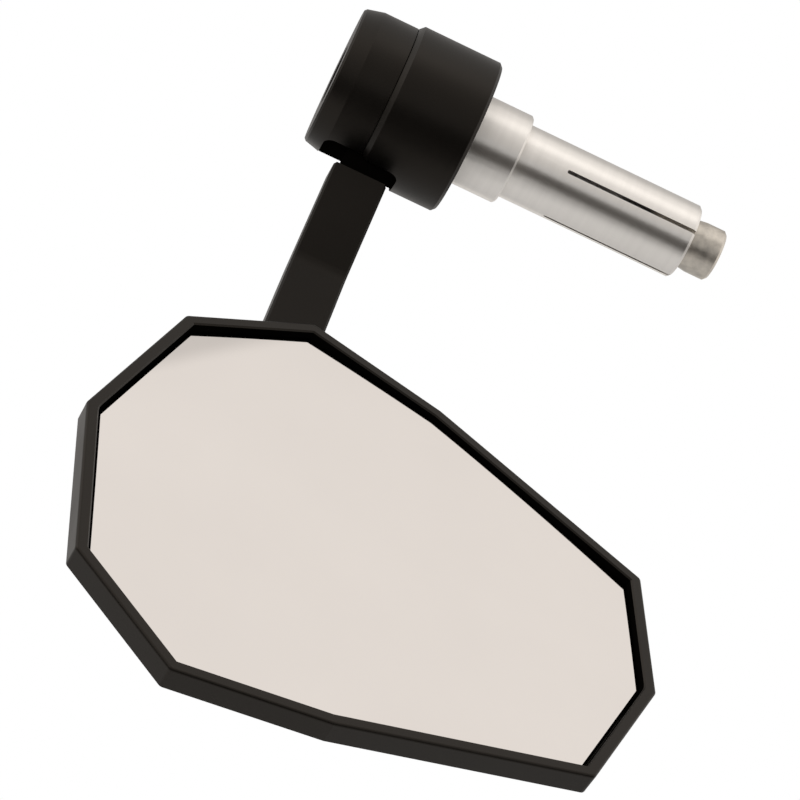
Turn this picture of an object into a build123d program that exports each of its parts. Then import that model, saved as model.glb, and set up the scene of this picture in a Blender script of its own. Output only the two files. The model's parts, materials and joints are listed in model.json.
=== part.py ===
"""Bar end mirror for a motorcycle: an expanding insert that clamps inside the handlebar,
a black two-part head on its end, a bent flat arm and a ten-sided mirror on a ball joint.

Millimetres.  +X runs along the handlebar axis into the bar, the mirror faces -Y, +Z is up.
The origin is on the bar axis, in the collar face that butts against the end of the bar.
"""
import os
from math import cos, hypot, radians, sin, sqrt, tan

from build123d import *

# Fits between pieces
SPHERE_CLEARANCE = 0.1      # ball to liner, liner to socket
SPIGOT_CLEARANCE = 0.05     # turned spigots in their recesses
BOLT_CLEARANCE = 0.3        # draw bolt in the holes that it passes through
THREAD_CLEARANCE = 0.05     # plain stand-in for a screwed joint
LOOSE_CLEARANCE = 0.2       # arm eye and neck in the head
SEAM_GAP = 0.1              # cap to head body, so that the bolt load goes through the eye
GLASS_GAP = 0.25            # glass and pad to the wall of the housing

# Insert that goes into the bar
COLLAR_DIA = 17.6
COLLAR_LENGTH = 9.4
COLLAR_EDGE = 0.4
SLEEVE_DIA = 14.5
SLEEVE_LENGTH = 35.5
SLEEVE_BORE = 7.4
SLEEVE_EDGE = 0.5
SLEEVE_FLANGE_DIA = 15.0    # flange of the sleeve, sunk flush in the collar
SLEEVE_FLANGE_LENGTH = 3.0
SLOT_COUNT = 4
SLOT_WIDTH = 0.7
SLOT_START = 9.2            # from the collar face to the round end of a slot
SLOT_TURN = 100.0           # first slot, about the bar axis from the top of the sleeve to the front

# Wedge nut and draw bolt
WEDGE_DIA = 10.0
WEDGE_STANDOUT = 6.3        # past the end of the sleeve
WEDGE_RIM = 4.1             # plain cylinder at its wide end
WEDGE_DEPTH = 8.0           # length of taper inside the sleeve
WEDGE_ANGLE = 8.0           # half angle of the taper
WEDGE_TRAVEL = 1.5          # until it meets the sleeve
WEDGE_SEAT_GAP = 0.05       # left between taper and sleeve at the end of that travel
WEDGE_EDGE = 0.5
BOLT_DIA = 6.0
BOLT_HEAD_DIA = 10.0
BOLT_HEAD_HEIGHT = 4.0
BOLT_RECESS = 1.4           # head sunk below the end of the cap
BOLT_HEX = 4.0              # across flats
BOLT_HEX_DEPTH = 2.3
BOLT_EDGE = 0.5
BOLT_SHORT = 1.2            # how far the bolt ends inside the wedge
BOLT_WASHER_DIA = 10.6
BOLT_WASHER_THICKNESS = 1.0

# Head on the end of the bar
BODY_DIA = 30.0
BODY_LENGTH = 16.8
BODY_STEP_CHAMFER = 1.0
BODY_EDGE = 0.6
BODY_SPIGOT_DIA = 12.0
BODY_SPIGOT_LENGTH = 3.0
CAP_DIA = 28.2
CAP_LENGTH = 10.4
CAP_TAPER_LENGTH = 3.6
CAP_TAPER_DROP = 0.8
CAP_EDGE = 0.4
CAP_COUNTERBORE_DIA = 11.4
MOUTH_LENGTH = 15.0         # notch round the arm's neck, along the bar axis, open to the rear
MOUTH_SHIFT = 0.9           # notch centre from the arm's centre, towards the cap's end
MOUTH_FRONT = 2.5           # lip in front of the bar axis
MOUTH_CORNER = 2.0
MOUTH_ROOF = 11.2           # below the bar axis

# Arm
ARM_OFFSET = 15.6           # arm centre from the head's inner face
ARM_WIDTH = 10.4
ARM_THICKNESS = 7.0
ARM_EDGE = 0.4
ARM_SHOULDER = 18.0         # below the bar axis
ARM_BEND_HEIGHT = 38.5      # bend line on the front face, below the bar axis
ARM_BEND_ANGLE = 18.0
ARM_BEND_RADIUS = 8.0
ARM_REACH = 71.7            # from the bend line to the stud
ARM_END = 7.0               # past the stud
ARM_END_RADIUS = 4.6
EYE_DIA = 13.0
EYE_LENGTH = 8.0
NECK_THICKNESS = 4.4

# Ball stud
BALL_DIA = 11.0
STUD_REACH = 10.5           # ball centre from the arm's front face
STUD_NECK_DIA = 5.0
STUD_SHOULDER_DIA = 9.0
STUD_SHOULDER_THICKNESS = 1.5
STUD_DIA = 6.0
STUD_EDGE = 0.4
STUD_PROUD = 1.4            # of the nut
STUD_WASHER_DIA = 11.0
STUD_WASHER_THICKNESS = 1.5
STUD_NUT_HEX = 10.0
STUD_NUT_HEIGHT = 5.0
STUD_NUT_EDGE = 0.5

# Mirror: half outline seen from the front, the ball centre at (0, 0)
MIRROR_TILT = 27.2          # front face leans back from upright
MIRROR_ROLL = -0.95         # about the front face's normal
MIRROR_PAN = 2.36           # towards the bar
WIDE_TIP = -27.3
WIDE_CORNER = (-19.2, 29.8)
TOP_CORNER = (0.5, 43.3)
BROW_CORNER = (25.7, 38.3)
NARROW_CORNER = (66.3, 23.4)
NARROW_TIP = 73.0
CORNER_RADIUS = 1.0
TIP_OPENING_RADIUS = 3.0    # inside corner of the rim at both tips
RIM_LAND = 2.0
RIM_EDGE = 0.5
RIM_INNER_EDGE = 0.25
RIM_HEIGHT = 4.2            # upright outer wall
BACK_RISE = 2.6             # sloping back behind the wall
BACK_INSET = 8.0
GLASS_RECESS = 1.6          # below the rim at the edge of the glass
GLASS_THICKNESS = 2.0
GLASS_RADIUS = 1200.0       # convex glass
PAD_EDGE_THICKNESS = 0.8

# Ball socket on the back of the housing
BALL_DEPTH = 12.0           # ball centre behind the front of the rim
LINER_THICKNESS = 0.9
LINER_SPLIT_ANGLE = 8.5     # from the ball's middle plane to each liner half
LINER_OPENING = 52.0        # half angle left open round the stud
SOCKET_BOSS_DIA = 25.0
RETAINER_THICKNESS = 5.0
RETAINER_GAP = 0.15
RETAINER_EDGE = 0.8
SCREW_COUNT = 3
SCREW_CIRCLE_DIA = 19.0
SCREW_DIA = 2.5
SCREW_HEAD_DIA = 4.7
SCREW_LENGTH = 8.5
SCREW_HEX = 1.5
SCREW_HEX_DEPTH = 1.0

# Places worked out from the sizes above
HEAD_INNER_X = -COLLAR_LENGTH
SEAM_X = HEAD_INNER_X - BODY_LENGTH
HEAD_OUTER_X = SEAM_X - CAP_LENGTH
ARM_X = HEAD_INNER_X - ARM_OFFSET
EYE_OUTER_X = ARM_X - EYE_LENGTH / 2
EYE_INNER_X = ARM_X + EYE_LENGTH / 2
BOLT_HEAD_X = HEAD_OUTER_X + BOLT_RECESS
BOLT_SEAT_X = BOLT_HEAD_X + BOLT_HEAD_HEIGHT + BOLT_WASHER_THICKNESS
WEDGE_END_X = SLEEVE_LENGTH + WEDGE_STANDOUT
WEDGE_RIM_X = WEDGE_END_X - WEDGE_RIM
WEDGE_NOSE_X = SLEEVE_LENGTH - WEDGE_DEPTH
BOLT_END_X = WEDGE_END_X - BOLT_SHORT
BOLT_HOLE_DIA = BOLT_DIA + 2 * BOLT_CLEARANCE
BALL_RADIUS = BALL_DIA / 2
LINER_INNER_RADIUS = BALL_RADIUS + SPHERE_CLEARANCE
LINER_OUTER_RADIUS = LINER_INNER_RADIUS + LINER_THICKNESS
SOCKET_RADIUS = LINER_OUTER_RADIUS + SPHERE_CLEARANCE
PAST = 1.0                  # cutters reach this far past the faces that they break

# Arm directions in the YZ plane: down the lower arm, and out along the stud
LOWER_ARM = Vector(0, -sin(radians(ARM_BEND_ANGLE)), -cos(radians(ARM_BEND_ANGLE)))
STUD_AXIS = Vector(0, -cos(radians(ARM_BEND_ANGLE)), sin(radians(ARM_BEND_ANGLE)))
STUD_SEAT = Vector(ARM_X, -ARM_THICKNESS / 2, -ARM_BEND_HEIGHT) + LOWER_ARM * ARM_REACH
BALL_CENTRE = STUD_SEAT + STUD_AXIS * STUD_REACH

# Frames: the stud's with Z along its axis, the mirror's with Z out of its front face
STUD_FRAME = Location(Plane(STUD_SEAT, x_dir=(1, 0, 0), z_dir=STUD_AXIS))
LEANING = Vector(0, -cos(radians(MIRROR_TILT)), sin(radians(MIRROR_TILT)))
MIRROR_FRAME = Location(Plane(BALL_CENTRE, x_dir=(1, 0, 0), z_dir=LEANING))
MIRROR_FRAME = MIRROR_FRAME * Rot(0, 0, MIRROR_ROLL) * Rot(0, MIRROR_PAN, 0) * Pos(0, 0, BALL_DEPTH)


def turned(points):
    """A solid of revolution about the bar axis from (x, radius) points."""
    profile = make_face(Polyline(*[(x, radius) for x, radius in points], close=True))
    return revolve(profile, Axis.X)


def rod(dia, start_x, end_x):
    """A cylinder on the bar axis between two stations."""
    return Location((start_x, 0, 0), (0, 90, 0)) * Cylinder(
        dia / 2, end_x - start_x, align=(Align.CENTER, Align.CENTER, Align.MIN)
    )


def post(dia, low_z, high_z):
    """A cylinder on the local Z axis between two heights."""
    return Pos(0, 0, low_z) * Cylinder(
        dia / 2, high_z - low_z, align=(Align.CENTER, Align.CENTER, Align.MIN)
    )


def hex_post(across_flats, low_z, high_z):
    """A hexagonal bar on the local Z axis between two heights."""
    hexagon = RegularPolygon(across_flats / 2, 6, major_radius=False)
    return Pos(0, 0, low_z) * extrude(hexagon, high_z - low_z)


def spread(count, dia, shape):
    """Copies of a shape set evenly on a circle about the local Z axis."""
    step = 360 / count
    return [Rot(0, 0, step * i) * Pos(0, dia / 2, 0) * shape for i in range(count)]


def wedge_radius(x):
    """Radius of the wedge's taper at a station on the bar axis."""
    return WEDGE_DIA / 2 - (WEDGE_RIM_X - x) * tan(radians(WEDGE_ANGLE))


def make_spacer_collar():
    radius = COLLAR_DIA / 2
    spigot_radius = BODY_SPIGOT_DIA / 2 - SPIGOT_CLEARANCE
    body = turned([
        (HEAD_INNER_X - BODY_SPIGOT_LENGTH + SPIGOT_CLEARANCE, 0),
        (HEAD_INNER_X - BODY_SPIGOT_LENGTH + SPIGOT_CLEARANCE, spigot_radius),
        (HEAD_INNER_X, spigot_radius),
        (HEAD_INNER_X, radius - COLLAR_EDGE),
        (HEAD_INNER_X + COLLAR_EDGE, radius),
        (-COLLAR_EDGE, radius),
        (0, radius - COLLAR_EDGE),
        (0, 0),
    ])
    body -= rod(SLEEVE_FLANGE_DIA + 2 * SPIGOT_CLEARANCE, -SLEEVE_FLANGE_LENGTH, PAST)
    return body - rod(BOLT_HOLE_DIA, HEAD_INNER_X - BODY_SPIGOT_LENGTH - PAST, PAST)


def make_expander_sleeve():
    radius = SLEEVE_DIA / 2
    bore_radius = SLEEVE_BORE / 2
    taper_gap = WEDGE_TRAVEL * tan(radians(WEDGE_ANGLE)) + WEDGE_SEAT_GAP
    mouth_radius = wedge_radius(SLEEVE_LENGTH) + taper_gap
    taper_start = SLEEVE_LENGTH - (mouth_radius - bore_radius) / tan(radians(WEDGE_ANGLE))
    sleeve = turned([
        (-SLEEVE_FLANGE_LENGTH, bore_radius),
        (-SLEEVE_FLANGE_LENGTH, SLEEVE_FLANGE_DIA / 2),
        (0, SLEEVE_FLANGE_DIA / 2),
        (0, radius),
        (SLEEVE_LENGTH - SLEEVE_EDGE, radius),
        (SLEEVE_LENGTH, radius - SLEEVE_EDGE),
        (SLEEVE_LENGTH, mouth_radius),
        (taper_start, bore_radius),
    ])
    slot_length = SLEEVE_LENGTH + PAST - SLOT_START
    slot_plan = Pos(SLOT_START + SLOT_WIDTH / 2, 0) * Circle(SLOT_WIDTH / 2)
    slot_plan += Pos(SLOT_START + SLOT_WIDTH / 2, 0) * Rectangle(
        slot_length, SLOT_WIDTH, align=(Align.MIN, Align.CENTER)
    )
    slot = extrude(slot_plan, radius + PAST)
    for i in range(SLOT_COUNT):
        sleeve -= Rot(SLOT_TURN + 360 / SLOT_COUNT * i, 0, 0) * slot
    return sleeve


def make_wedge_cone():
    wedge = turned([
        (WEDGE_NOSE_X, 0),
        (WEDGE_NOSE_X, wedge_radius(WEDGE_NOSE_X)),
        (WEDGE_RIM_X, WEDGE_DIA / 2),
        (WEDGE_END_X - WEDGE_EDGE, WEDGE_DIA / 2),
        (WEDGE_END_X, WEDGE_DIA / 2 - WEDGE_EDGE),
        (WEDGE_END_X, 0),
    ])
    return wedge - rod(BOLT_DIA + 2 * THREAD_CLEARANCE, WEDGE_NOSE_X - PAST, WEDGE_END_X + PAST)


def make_draw_bolt():
    head_radius = BOLT_HEAD_DIA / 2
    shank_radius = BOLT_DIA / 2
    under_head_x = BOLT_HEAD_X + BOLT_HEAD_HEIGHT
    bolt = turned([
        (BOLT_HEAD_X, 0),
        (BOLT_HEAD_X, head_radius - BOLT_EDGE),
        (BOLT_HEAD_X + BOLT_EDGE, head_radius),
        (under_head_x, head_radius),
        (under_head_x, shank_radius),
        (BOLT_END_X - BOLT_EDGE, shank_radius),
        (BOLT_END_X, shank_radius - BOLT_EDGE),
        (BOLT_END_X, 0),
    ])
    socket = hex_post(BOLT_HEX, -PAST, BOLT_HEX_DEPTH)
    return bolt - Location((BOLT_HEAD_X, 0, 0), (0, 90, 0)) * socket


def make_bolt_washer():
    washer = rod(BOLT_WASHER_DIA, BOLT_SEAT_X - BOLT_WASHER_THICKNESS, BOLT_SEAT_X)
    return washer - rod(BOLT_HOLE_DIA, BOLT_SEAT_X - BOLT_WASHER_THICKNESS - PAST, BOLT_SEAT_X + PAST)


def head_hollow():
    """Room in the head for the arm's eye and neck, with the mouth that the arm comes out of."""
    eye = rod(EYE_DIA + 2 * LOOSE_CLEARANCE, EYE_OUTER_X, EYE_INNER_X)
    neck = Pos(ARM_X, 0, 0) * Box(
        EYE_LENGTH,
        NECK_THICKNESS + 2 * LOOSE_CLEARANCE,
        BODY_DIA / 2 + PAST,
        align=(Align.CENTER, Align.CENTER, Align.MAX),
    )
    notch = Rectangle(MOUTH_LENGTH, BODY_DIA, align=(Align.CENTER, Align.MIN))
    notch = fillet(notch.vertices().group_by(Axis.Y)[0], MOUTH_CORNER)
    mouth = extrude(notch, BODY_DIA / 2 + PAST - MOUTH_ROOF)
    return eye + neck + Pos(ARM_X - MOUTH_SHIFT, -MOUTH_FRONT, -BODY_DIA / 2 - PAST) * mouth


def make_head_body():
    radius = BODY_DIA / 2
    body = turned([
        (SEAM_X, 0),
        (SEAM_X, radius - BODY_STEP_CHAMFER),
        (SEAM_X + BODY_STEP_CHAMFER, radius),
        (HEAD_INNER_X - BODY_EDGE, radius),
        (HEAD_INNER_X, radius - BODY_EDGE),
        (HEAD_INNER_X, 0),
    ])
    body -= rod(BOLT_HOLE_DIA, SEAM_X - PAST, HEAD_INNER_X + PAST)
    body -= rod(BODY_SPIGOT_DIA, HEAD_INNER_X - BODY_SPIGOT_LENGTH, HEAD_INNER_X + PAST)
    return body - head_hollow()


def make_outer_cap():
    radius = CAP_DIA / 2
    end_radius = radius - CAP_TAPER_DROP
    cap = turned([
        (HEAD_OUTER_X, 0),
        (HEAD_OUTER_X, end_radius - CAP_EDGE),
        (HEAD_OUTER_X + CAP_EDGE, end_radius),
        (HEAD_OUTER_X + CAP_TAPER_LENGTH, radius),
        (SEAM_X - SEAM_GAP, radius),
        (SEAM_X - SEAM_GAP, 0),
    ])
    cap -= rod(BOLT_HOLE_DIA, HEAD_OUTER_X - PAST, SEAM_X + PAST)
    cap -= rod(CAP_COUNTERBORE_DIA, HEAD_OUTER_X - PAST, BOLT_SEAT_X)
    return cap - head_hollow()


def make_arm():
    half = ARM_THICKNESS / 2
    bend_shift = ARM_THICKNESS * tan(radians(ARM_BEND_ANGLE / 2))
    front_end = STUD_SEAT + LOWER_ARM * ARM_END
    rear_end = front_end - STUD_AXIS * ARM_THICKNESS
    side = make_face(Polyline(
        (-half, -ARM_SHOULDER),
        (-half, -ARM_BEND_HEIGHT),
        (front_end.Y, front_end.Z),
        (rear_end.Y, rear_end.Z),
        (half, -ARM_BEND_HEIGHT - bend_shift),
        (half, -ARM_SHOULDER),
        close=True,
    ))
    front_bend = side.vertices().sort_by_distance((-half, -ARM_BEND_HEIGHT))[0]
    side = fillet(front_bend, ARM_BEND_RADIUS)
    rear_bend = side.vertices().sort_by_distance((half, -ARM_BEND_HEIGHT - bend_shift))[0]
    side = fillet(rear_bend, ARM_BEND_RADIUS + ARM_THICKNESS)
    side_plane = Plane((ARM_X, 0, 0), x_dir=(0, 1, 0), z_dir=(1, 0, 0))
    bar = extrude(side_plane * side, ARM_WIDTH / 2, both=True)
    foot_edges = bar.edges().filter_by(Axis((0, 0, 0), STUD_AXIS)).sort_by(Axis.Z)[:2]
    bar = fillet(foot_edges, ARM_END_RADIUS)
    across = bar.edges().filter_by(Axis.X)
    bar = chamfer(bar.edges() - across, ARM_EDGE)
    eye = rod(EYE_DIA, EYE_OUTER_X, EYE_INNER_X)
    neck = Pos(ARM_X, 0, 0) * Box(
        EYE_LENGTH, NECK_THICKNESS, ARM_SHOULDER, align=(Align.CENTER, Align.CENTER, Align.MAX)
    )
    arm = bar + eye + neck - rod(BOLT_HOLE_DIA, EYE_OUTER_X - PAST, EYE_INNER_X + PAST)
    stud_hole = post(STUD_DIA + 2 * THREAD_CLEARANCE, -ARM_THICKNESS - PAST, PAST)
    return arm - STUD_FRAME * stud_hole


def make_ball_stud():
    washer_face = -ARM_THICKNESS - STUD_WASHER_THICKNESS
    end_z = washer_face - STUD_NUT_HEIGHT - STUD_PROUD
    stud = Pos(0, 0, STUD_REACH) * Sphere(BALL_RADIUS)
    stud += post(STUD_NECK_DIA, 0, STUD_REACH)
    stud += post(STUD_SHOULDER_DIA, 0, STUD_SHOULDER_THICKNESS)
    shank = post(STUD_DIA, end_z, 0)
    stud += chamfer(shank.edges().sort_by(Axis.Z)[0], STUD_EDGE)
    return STUD_FRAME * stud


def make_stud_washer():
    washer = post(STUD_WASHER_DIA, -ARM_THICKNESS - STUD_WASHER_THICKNESS, -ARM_THICKNESS)
    hole = post(
        STUD_DIA + 2 * THREAD_CLEARANCE, -ARM_THICKNESS - STUD_WASHER_THICKNESS - PAST, -ARM_THICKNESS + PAST
    )
    return STUD_FRAME * (washer - hole)


def make_stud_nut():
    top = -ARM_THICKNESS - STUD_WASHER_THICKNESS
    nut = hex_post(STUD_NUT_HEX, top - STUD_NUT_HEIGHT, top)
    corner_radius = STUD_NUT_HEX / sqrt(3)
    rounding = post(2 * corner_radius, top - STUD_NUT_HEIGHT, top)
    rounding = chamfer(rounding.edges().sort_by(Axis.Z)[0], STUD_NUT_EDGE)
    nut &= rounding
    hole = post(STUD_DIA + 2 * THREAD_CLEARANCE, top - STUD_NUT_HEIGHT - PAST, top + PAST)
    return STUD_FRAME * (nut - hole)


def mirror_outline():
    """The ten-sided front outline, sharp-cornered."""
    upper = [WIDE_CORNER, TOP_CORNER, BROW_CORNER, NARROW_CORNER]
    lower = [(x, -y) for x, y in reversed(upper)]
    return make_face(Polyline((WIDE_TIP, 0), *upper, (NARROW_TIP, 0), *lower, close=True))


def rim_opening(gap):
    """The opening in the rim, or what fills it with a gap all round, with rounded tips."""
    plan = offset(mirror_outline(), amount=-RIM_LAND - gap, kind=Kind.INTERSECTION)
    tips = plan.vertices().sort_by(Axis.X)
    return fillet([tips[0], tips[-1]], TIP_OPENING_RADIUS - gap)


def crown(edge_depth):
    """A ball whose cap passes the farthest corner of the glass at this depth below the rim."""
    centre_x = (WIDE_TIP + NARROW_TIP) / 2
    reach = max(hypot(x - centre_x, y) for x, y in [TOP_CORNER, NARROW_CORNER])
    drop = GLASS_RADIUS - sqrt(GLASS_RADIUS ** 2 - reach ** 2)
    return Pos(centre_x, 0, drop - edge_depth - GLASS_RADIUS) * Rot(90, 0, 0) * Sphere(GLASS_RADIUS)


def pad_floor():
    """Depth of the housing's floor below the front of the rim."""
    return GLASS_RECESS + GLASS_THICKNESS + PAD_EDGE_THICKNESS


def make_mirror_housing():
    outline = fillet(mirror_outline().vertices(), CORNER_RADIUS)
    back_plan = offset(mirror_outline(), amount=-BACK_INSET, kind=Kind.INTERSECTION)
    back_plan = fillet(back_plan.vertices(), CORNER_RADIUS)
    wall = extrude(outline, -RIM_HEIGHT)
    back = loft([Pos(0, 0, -RIM_HEIGHT) * outline, Pos(0, 0, -RIM_HEIGHT - BACK_RISE) * back_plan], ruled=True)
    shell = wall + back
    front_edges = shell.edges().group_by(Axis.Z)[-1]
    shell = fillet(front_edges, RIM_EDGE)
    shell += post(SOCKET_BOSS_DIA, -BALL_DEPTH, -RIM_HEIGHT)
    pocket = extrude(rim_opening(0), -pad_floor())
    shell -= pocket
    inner_edges = [
        edge for edge in shell.edges().group_by(Axis.Z)[-1]
        if pocket.distance_to(edge @ 0.5) < RIM_INNER_EDGE
    ]
    shell = chamfer(inner_edges, RIM_INNER_EDGE)
    shell -= Pos(0, 0, -BALL_DEPTH) * Sphere(SOCKET_RADIUS)
    tapped = post(SCREW_DIA + 2 * THREAD_CLEARANCE, -BALL_DEPTH - PAST, screw_tip())
    for hole in spread(SCREW_COUNT, SCREW_CIRCLE_DIA, tapped):
        shell -= hole
    return MIRROR_FRAME * shell


def make_glass_pad():
    plan = rim_opening(GLASS_GAP)
    pad = extrude(plan, -pad_floor()) & crown(GLASS_RECESS + GLASS_THICKNESS)
    return MIRROR_FRAME * pad


def make_mirror_glass():
    plan = rim_opening(GLASS_GAP)
    glass = extrude(plan, -pad_floor()) & crown(GLASS_RECESS)
    return MIRROR_FRAME * (glass - crown(GLASS_RECESS + GLASS_THICKNESS))


def stud_opening():
    """Cone from the ball centre to the rear that the stud swings in."""
    depth = LINER_OUTER_RADIUS + RETAINER_THICKNESS
    wide = depth * tan(radians(LINER_OPENING))
    return Pos(0, 0, -depth) * Cone(wide, 0.0, depth, align=(Align.CENTER, Align.CENTER, Align.MIN))


def liner(low_angle, high_angle):
    """A shell round the ball between two angles from its middle plane."""
    inner = CenterArc((0, 0), LINER_INNER_RADIUS, low_angle, high_angle - low_angle)
    outer = CenterArc((0, 0), LINER_OUTER_RADIUS, low_angle, high_angle - low_angle)
    profile = make_face([inner, outer, Line(inner @ 0, outer @ 0), Line(inner @ 1, outer @ 1)])
    return MIRROR_FRAME * Pos(0, 0, -BALL_DEPTH) * revolve(Plane.XZ * profile, Axis.Z)


def make_ball_liner_front():
    return liner(LINER_SPLIT_ANGLE, 90)


def make_ball_liner_rear():
    return liner(LINER_OPENING - 90, -LINER_SPLIT_ANGLE)


def retainer_rear():
    """Depth of the retainer's rear face, from the ball centre."""
    return -RETAINER_GAP - RETAINER_THICKNESS


def screw_tip():
    return retainer_rear() - BALL_DEPTH + SCREW_LENGTH + THREAD_CLEARANCE


def screw_head_height():
    """Height of a countersunk head with a 90 degree cone."""
    return (SCREW_HEAD_DIA - SCREW_DIA) / 2


def make_ball_retainer():
    ring = post(SOCKET_BOSS_DIA, retainer_rear(), -RETAINER_GAP)
    ring = chamfer(ring.edges().sort_by(Axis.Z)[0], RETAINER_EDGE)
    ring -= Sphere(SOCKET_RADIUS)
    ring -= stud_opening()
    through = post(SCREW_DIA + 2 * THREAD_CLEARANCE, retainer_rear() - PAST, PAST)
    sink = Pos(0, 0, retainer_rear()) * Cone(
        SCREW_HEAD_DIA / 2 + THREAD_CLEARANCE,
        SCREW_DIA / 2 + THREAD_CLEARANCE,
        screw_head_height(),
        align=(Align.CENTER, Align.CENTER, Align.MIN),
    )
    for hole in spread(SCREW_COUNT, SCREW_CIRCLE_DIA, through + sink):
        ring -= hole
    return MIRROR_FRAME * Pos(0, 0, -BALL_DEPTH) * ring


def make_retainer_screws():
    head = Cone(
        SCREW_HEAD_DIA / 2, SCREW_DIA / 2, screw_head_height(), align=(Align.CENTER, Align.CENTER, Align.MIN)
    )
    screw = head + post(SCREW_DIA, 0, SCREW_LENGTH)
    screw -= hex_post(SCREW_HEX, -PAST, SCREW_HEX_DEPTH)
    seat = MIRROR_FRAME * Pos(0, 0, retainer_rear() - BALL_DEPTH)
    return [seat * placed for placed in spread(SCREW_COUNT, SCREW_CIRCLE_DIA, screw)]


def build():
    nodes = {
        "spacer_collar": make_spacer_collar(),
        "expander_sleeve": make_expander_sleeve(),
        "wedge_cone": make_wedge_cone(),
        "draw_bolt": make_draw_bolt(),
        "bolt_washer": make_bolt_washer(),
        "head_body": make_head_body(),
        "outer_cap": make_outer_cap(),
        "arm": make_arm(),
        "ball_stud": make_ball_stud(),
        "stud_washer": make_stud_washer(),
        "stud_nut": make_stud_nut(),
        "ball_liner_front": make_ball_liner_front(),
        "ball_liner_rear": make_ball_liner_rear(),
        "mirror_housing": make_mirror_housing(),
        "glass_pad": make_glass_pad(),
        "mirror_glass": make_mirror_glass(),
        "ball_retainer": make_ball_retainer(),
    }
    for number, screw in enumerate(make_retainer_screws(), start=1):
        nodes[f"retainer_screw_{number}"] = screw
    return nodes


os.makedirs("parts", exist_ok=True)
for node_name, shape in build().items():
    export_step(shape, f"parts/{node_name}.step")
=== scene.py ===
"""Looks of a bar end mirror: finishes for its machined pieces, the small screwed parts in full,
the silvered glass, and a plain studio.  Laid out as an add-on and run as a script."""
import json
from math import atan2, copysign, cos, hypot, pi, radians, sin, sqrt, tan

import bmesh
import bpy
from mathutils import Matrix, Vector


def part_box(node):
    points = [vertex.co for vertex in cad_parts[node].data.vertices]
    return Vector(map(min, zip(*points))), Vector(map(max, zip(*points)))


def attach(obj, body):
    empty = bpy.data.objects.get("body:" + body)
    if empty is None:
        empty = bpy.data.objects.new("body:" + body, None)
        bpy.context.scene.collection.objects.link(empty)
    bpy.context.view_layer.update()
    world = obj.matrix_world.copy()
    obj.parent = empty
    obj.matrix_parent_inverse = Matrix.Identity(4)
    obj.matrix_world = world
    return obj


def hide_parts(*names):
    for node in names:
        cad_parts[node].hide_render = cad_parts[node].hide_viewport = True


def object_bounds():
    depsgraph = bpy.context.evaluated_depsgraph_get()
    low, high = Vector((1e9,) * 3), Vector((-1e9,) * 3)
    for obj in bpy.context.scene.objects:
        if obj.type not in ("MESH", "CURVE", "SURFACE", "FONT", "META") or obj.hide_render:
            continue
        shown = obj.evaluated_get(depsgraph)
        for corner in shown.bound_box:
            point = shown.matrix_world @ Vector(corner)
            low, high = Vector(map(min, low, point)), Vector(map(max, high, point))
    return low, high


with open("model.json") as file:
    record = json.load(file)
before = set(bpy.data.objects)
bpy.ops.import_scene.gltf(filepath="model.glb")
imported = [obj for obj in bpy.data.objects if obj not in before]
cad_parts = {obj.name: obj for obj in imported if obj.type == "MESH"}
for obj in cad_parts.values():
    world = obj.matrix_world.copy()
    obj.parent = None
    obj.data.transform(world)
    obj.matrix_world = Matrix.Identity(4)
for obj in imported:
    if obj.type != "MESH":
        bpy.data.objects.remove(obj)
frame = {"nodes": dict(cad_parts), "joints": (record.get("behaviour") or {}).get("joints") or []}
CAD_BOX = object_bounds()
JOINTS = {joint["name"]: joint for joint in frame["joints"]}

bl_info = {
    "name": "Bar End Mirror",
    "version": (1, 0, 0),
    "blender": (4, 5, 0),
    "location": "View3D > Sidebar > Bar Mirror",
    "description": "Finishes, screwed parts, glass and studio for a bar end mirror",
    "category": "Object",
}

MM = 0.001
TINY = 1e-7
BAR_AXIS = Vector((1, 0, 0))
BALL_CENTRE = Vector(JOINTS["mirror_turn"]["pos_m"])
BALL_TURNS = ("mirror_tilt", "mirror_pan", "mirror_turn")
MIRROR_AXES = Matrix([JOINTS[name]["axis"] for name in BALL_TURNS]).transposed()
MIRROR_FRAME = Matrix.Translation(BALL_CENTRE) @ MIRROR_AXES.to_4x4()
STUD_LEAN = radians(18.0)
STUD_AXIS = Vector((0, -cos(STUD_LEAN), sin(STUD_LEAN)))
STUD_FRAME = Matrix.Translation(BALL_CENTRE) @ STUD_AXIS.to_track_quat("Z", "Y").to_matrix().to_4x4()

# One half of the rim's outline, in millimetres from the ball centre along the mirror's axes
HALF_OUTLINE = ((-27.3, 0), (-19.2, 29.8), (0.5, 43.3), (25.7, 38.3), (66.3, 23.4), (73.0, 0))
MIRROR_MIDDLE = Vector((HALF_OUTLINE[0][0] + HALF_OUTLINE[-1][0], 0)) / 2 * MM

# Rings of faces in the glass: cuts in each side, and each ring's size beside the one outside it
GLASS_CUTS = 7
GLASS_RINGS = (0.95, 0.88, 0.8, 0.7, 0.5, 0.0)
GLASS_SHARP = 20.0

# Notch in the underside of the head, and the arm's neck in it, whose faces are given a painted shade
NOTCH_REACH = 13.0 * MM
NOTCH_ROOF = 10.9 * MM
NOTCH_LIP = -2.6 * MM
NOTCH_OUTER = -33.5 * MM
NOTCH_INNER = -18.3 * MM
ARM_SHOULDER = 18.05 * MM

# How squarely a face looks outwards on the round skin of the head, and sideways in the rim, in picking
# the faces for the painted shade
SKIN_FACING = 0.95
WALL_FACING = 0.5

# Draw bolt and its washer, in millimetres
BOLT_RADIUS = 3.0
BOLT_HEAD = 5.0
BOLT_HEAD_HEIGHT = 4.0
BOLT_SOCKET = 2.0
BOLT_SOCKET_DEPTH = 2.3
BOLT_WASHER = 5.3
BOLT_WASHER_BORE = 3.3
BOLT_WASHER_THICKNESS = 1.0
WASHER_EDGE = 0.2
BOLT_FILLET = 0.25
BOLT_OVERLAP = 0.4
THREAD_RUN_OUT = 0.5
THREAD_STEPS = 24

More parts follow.
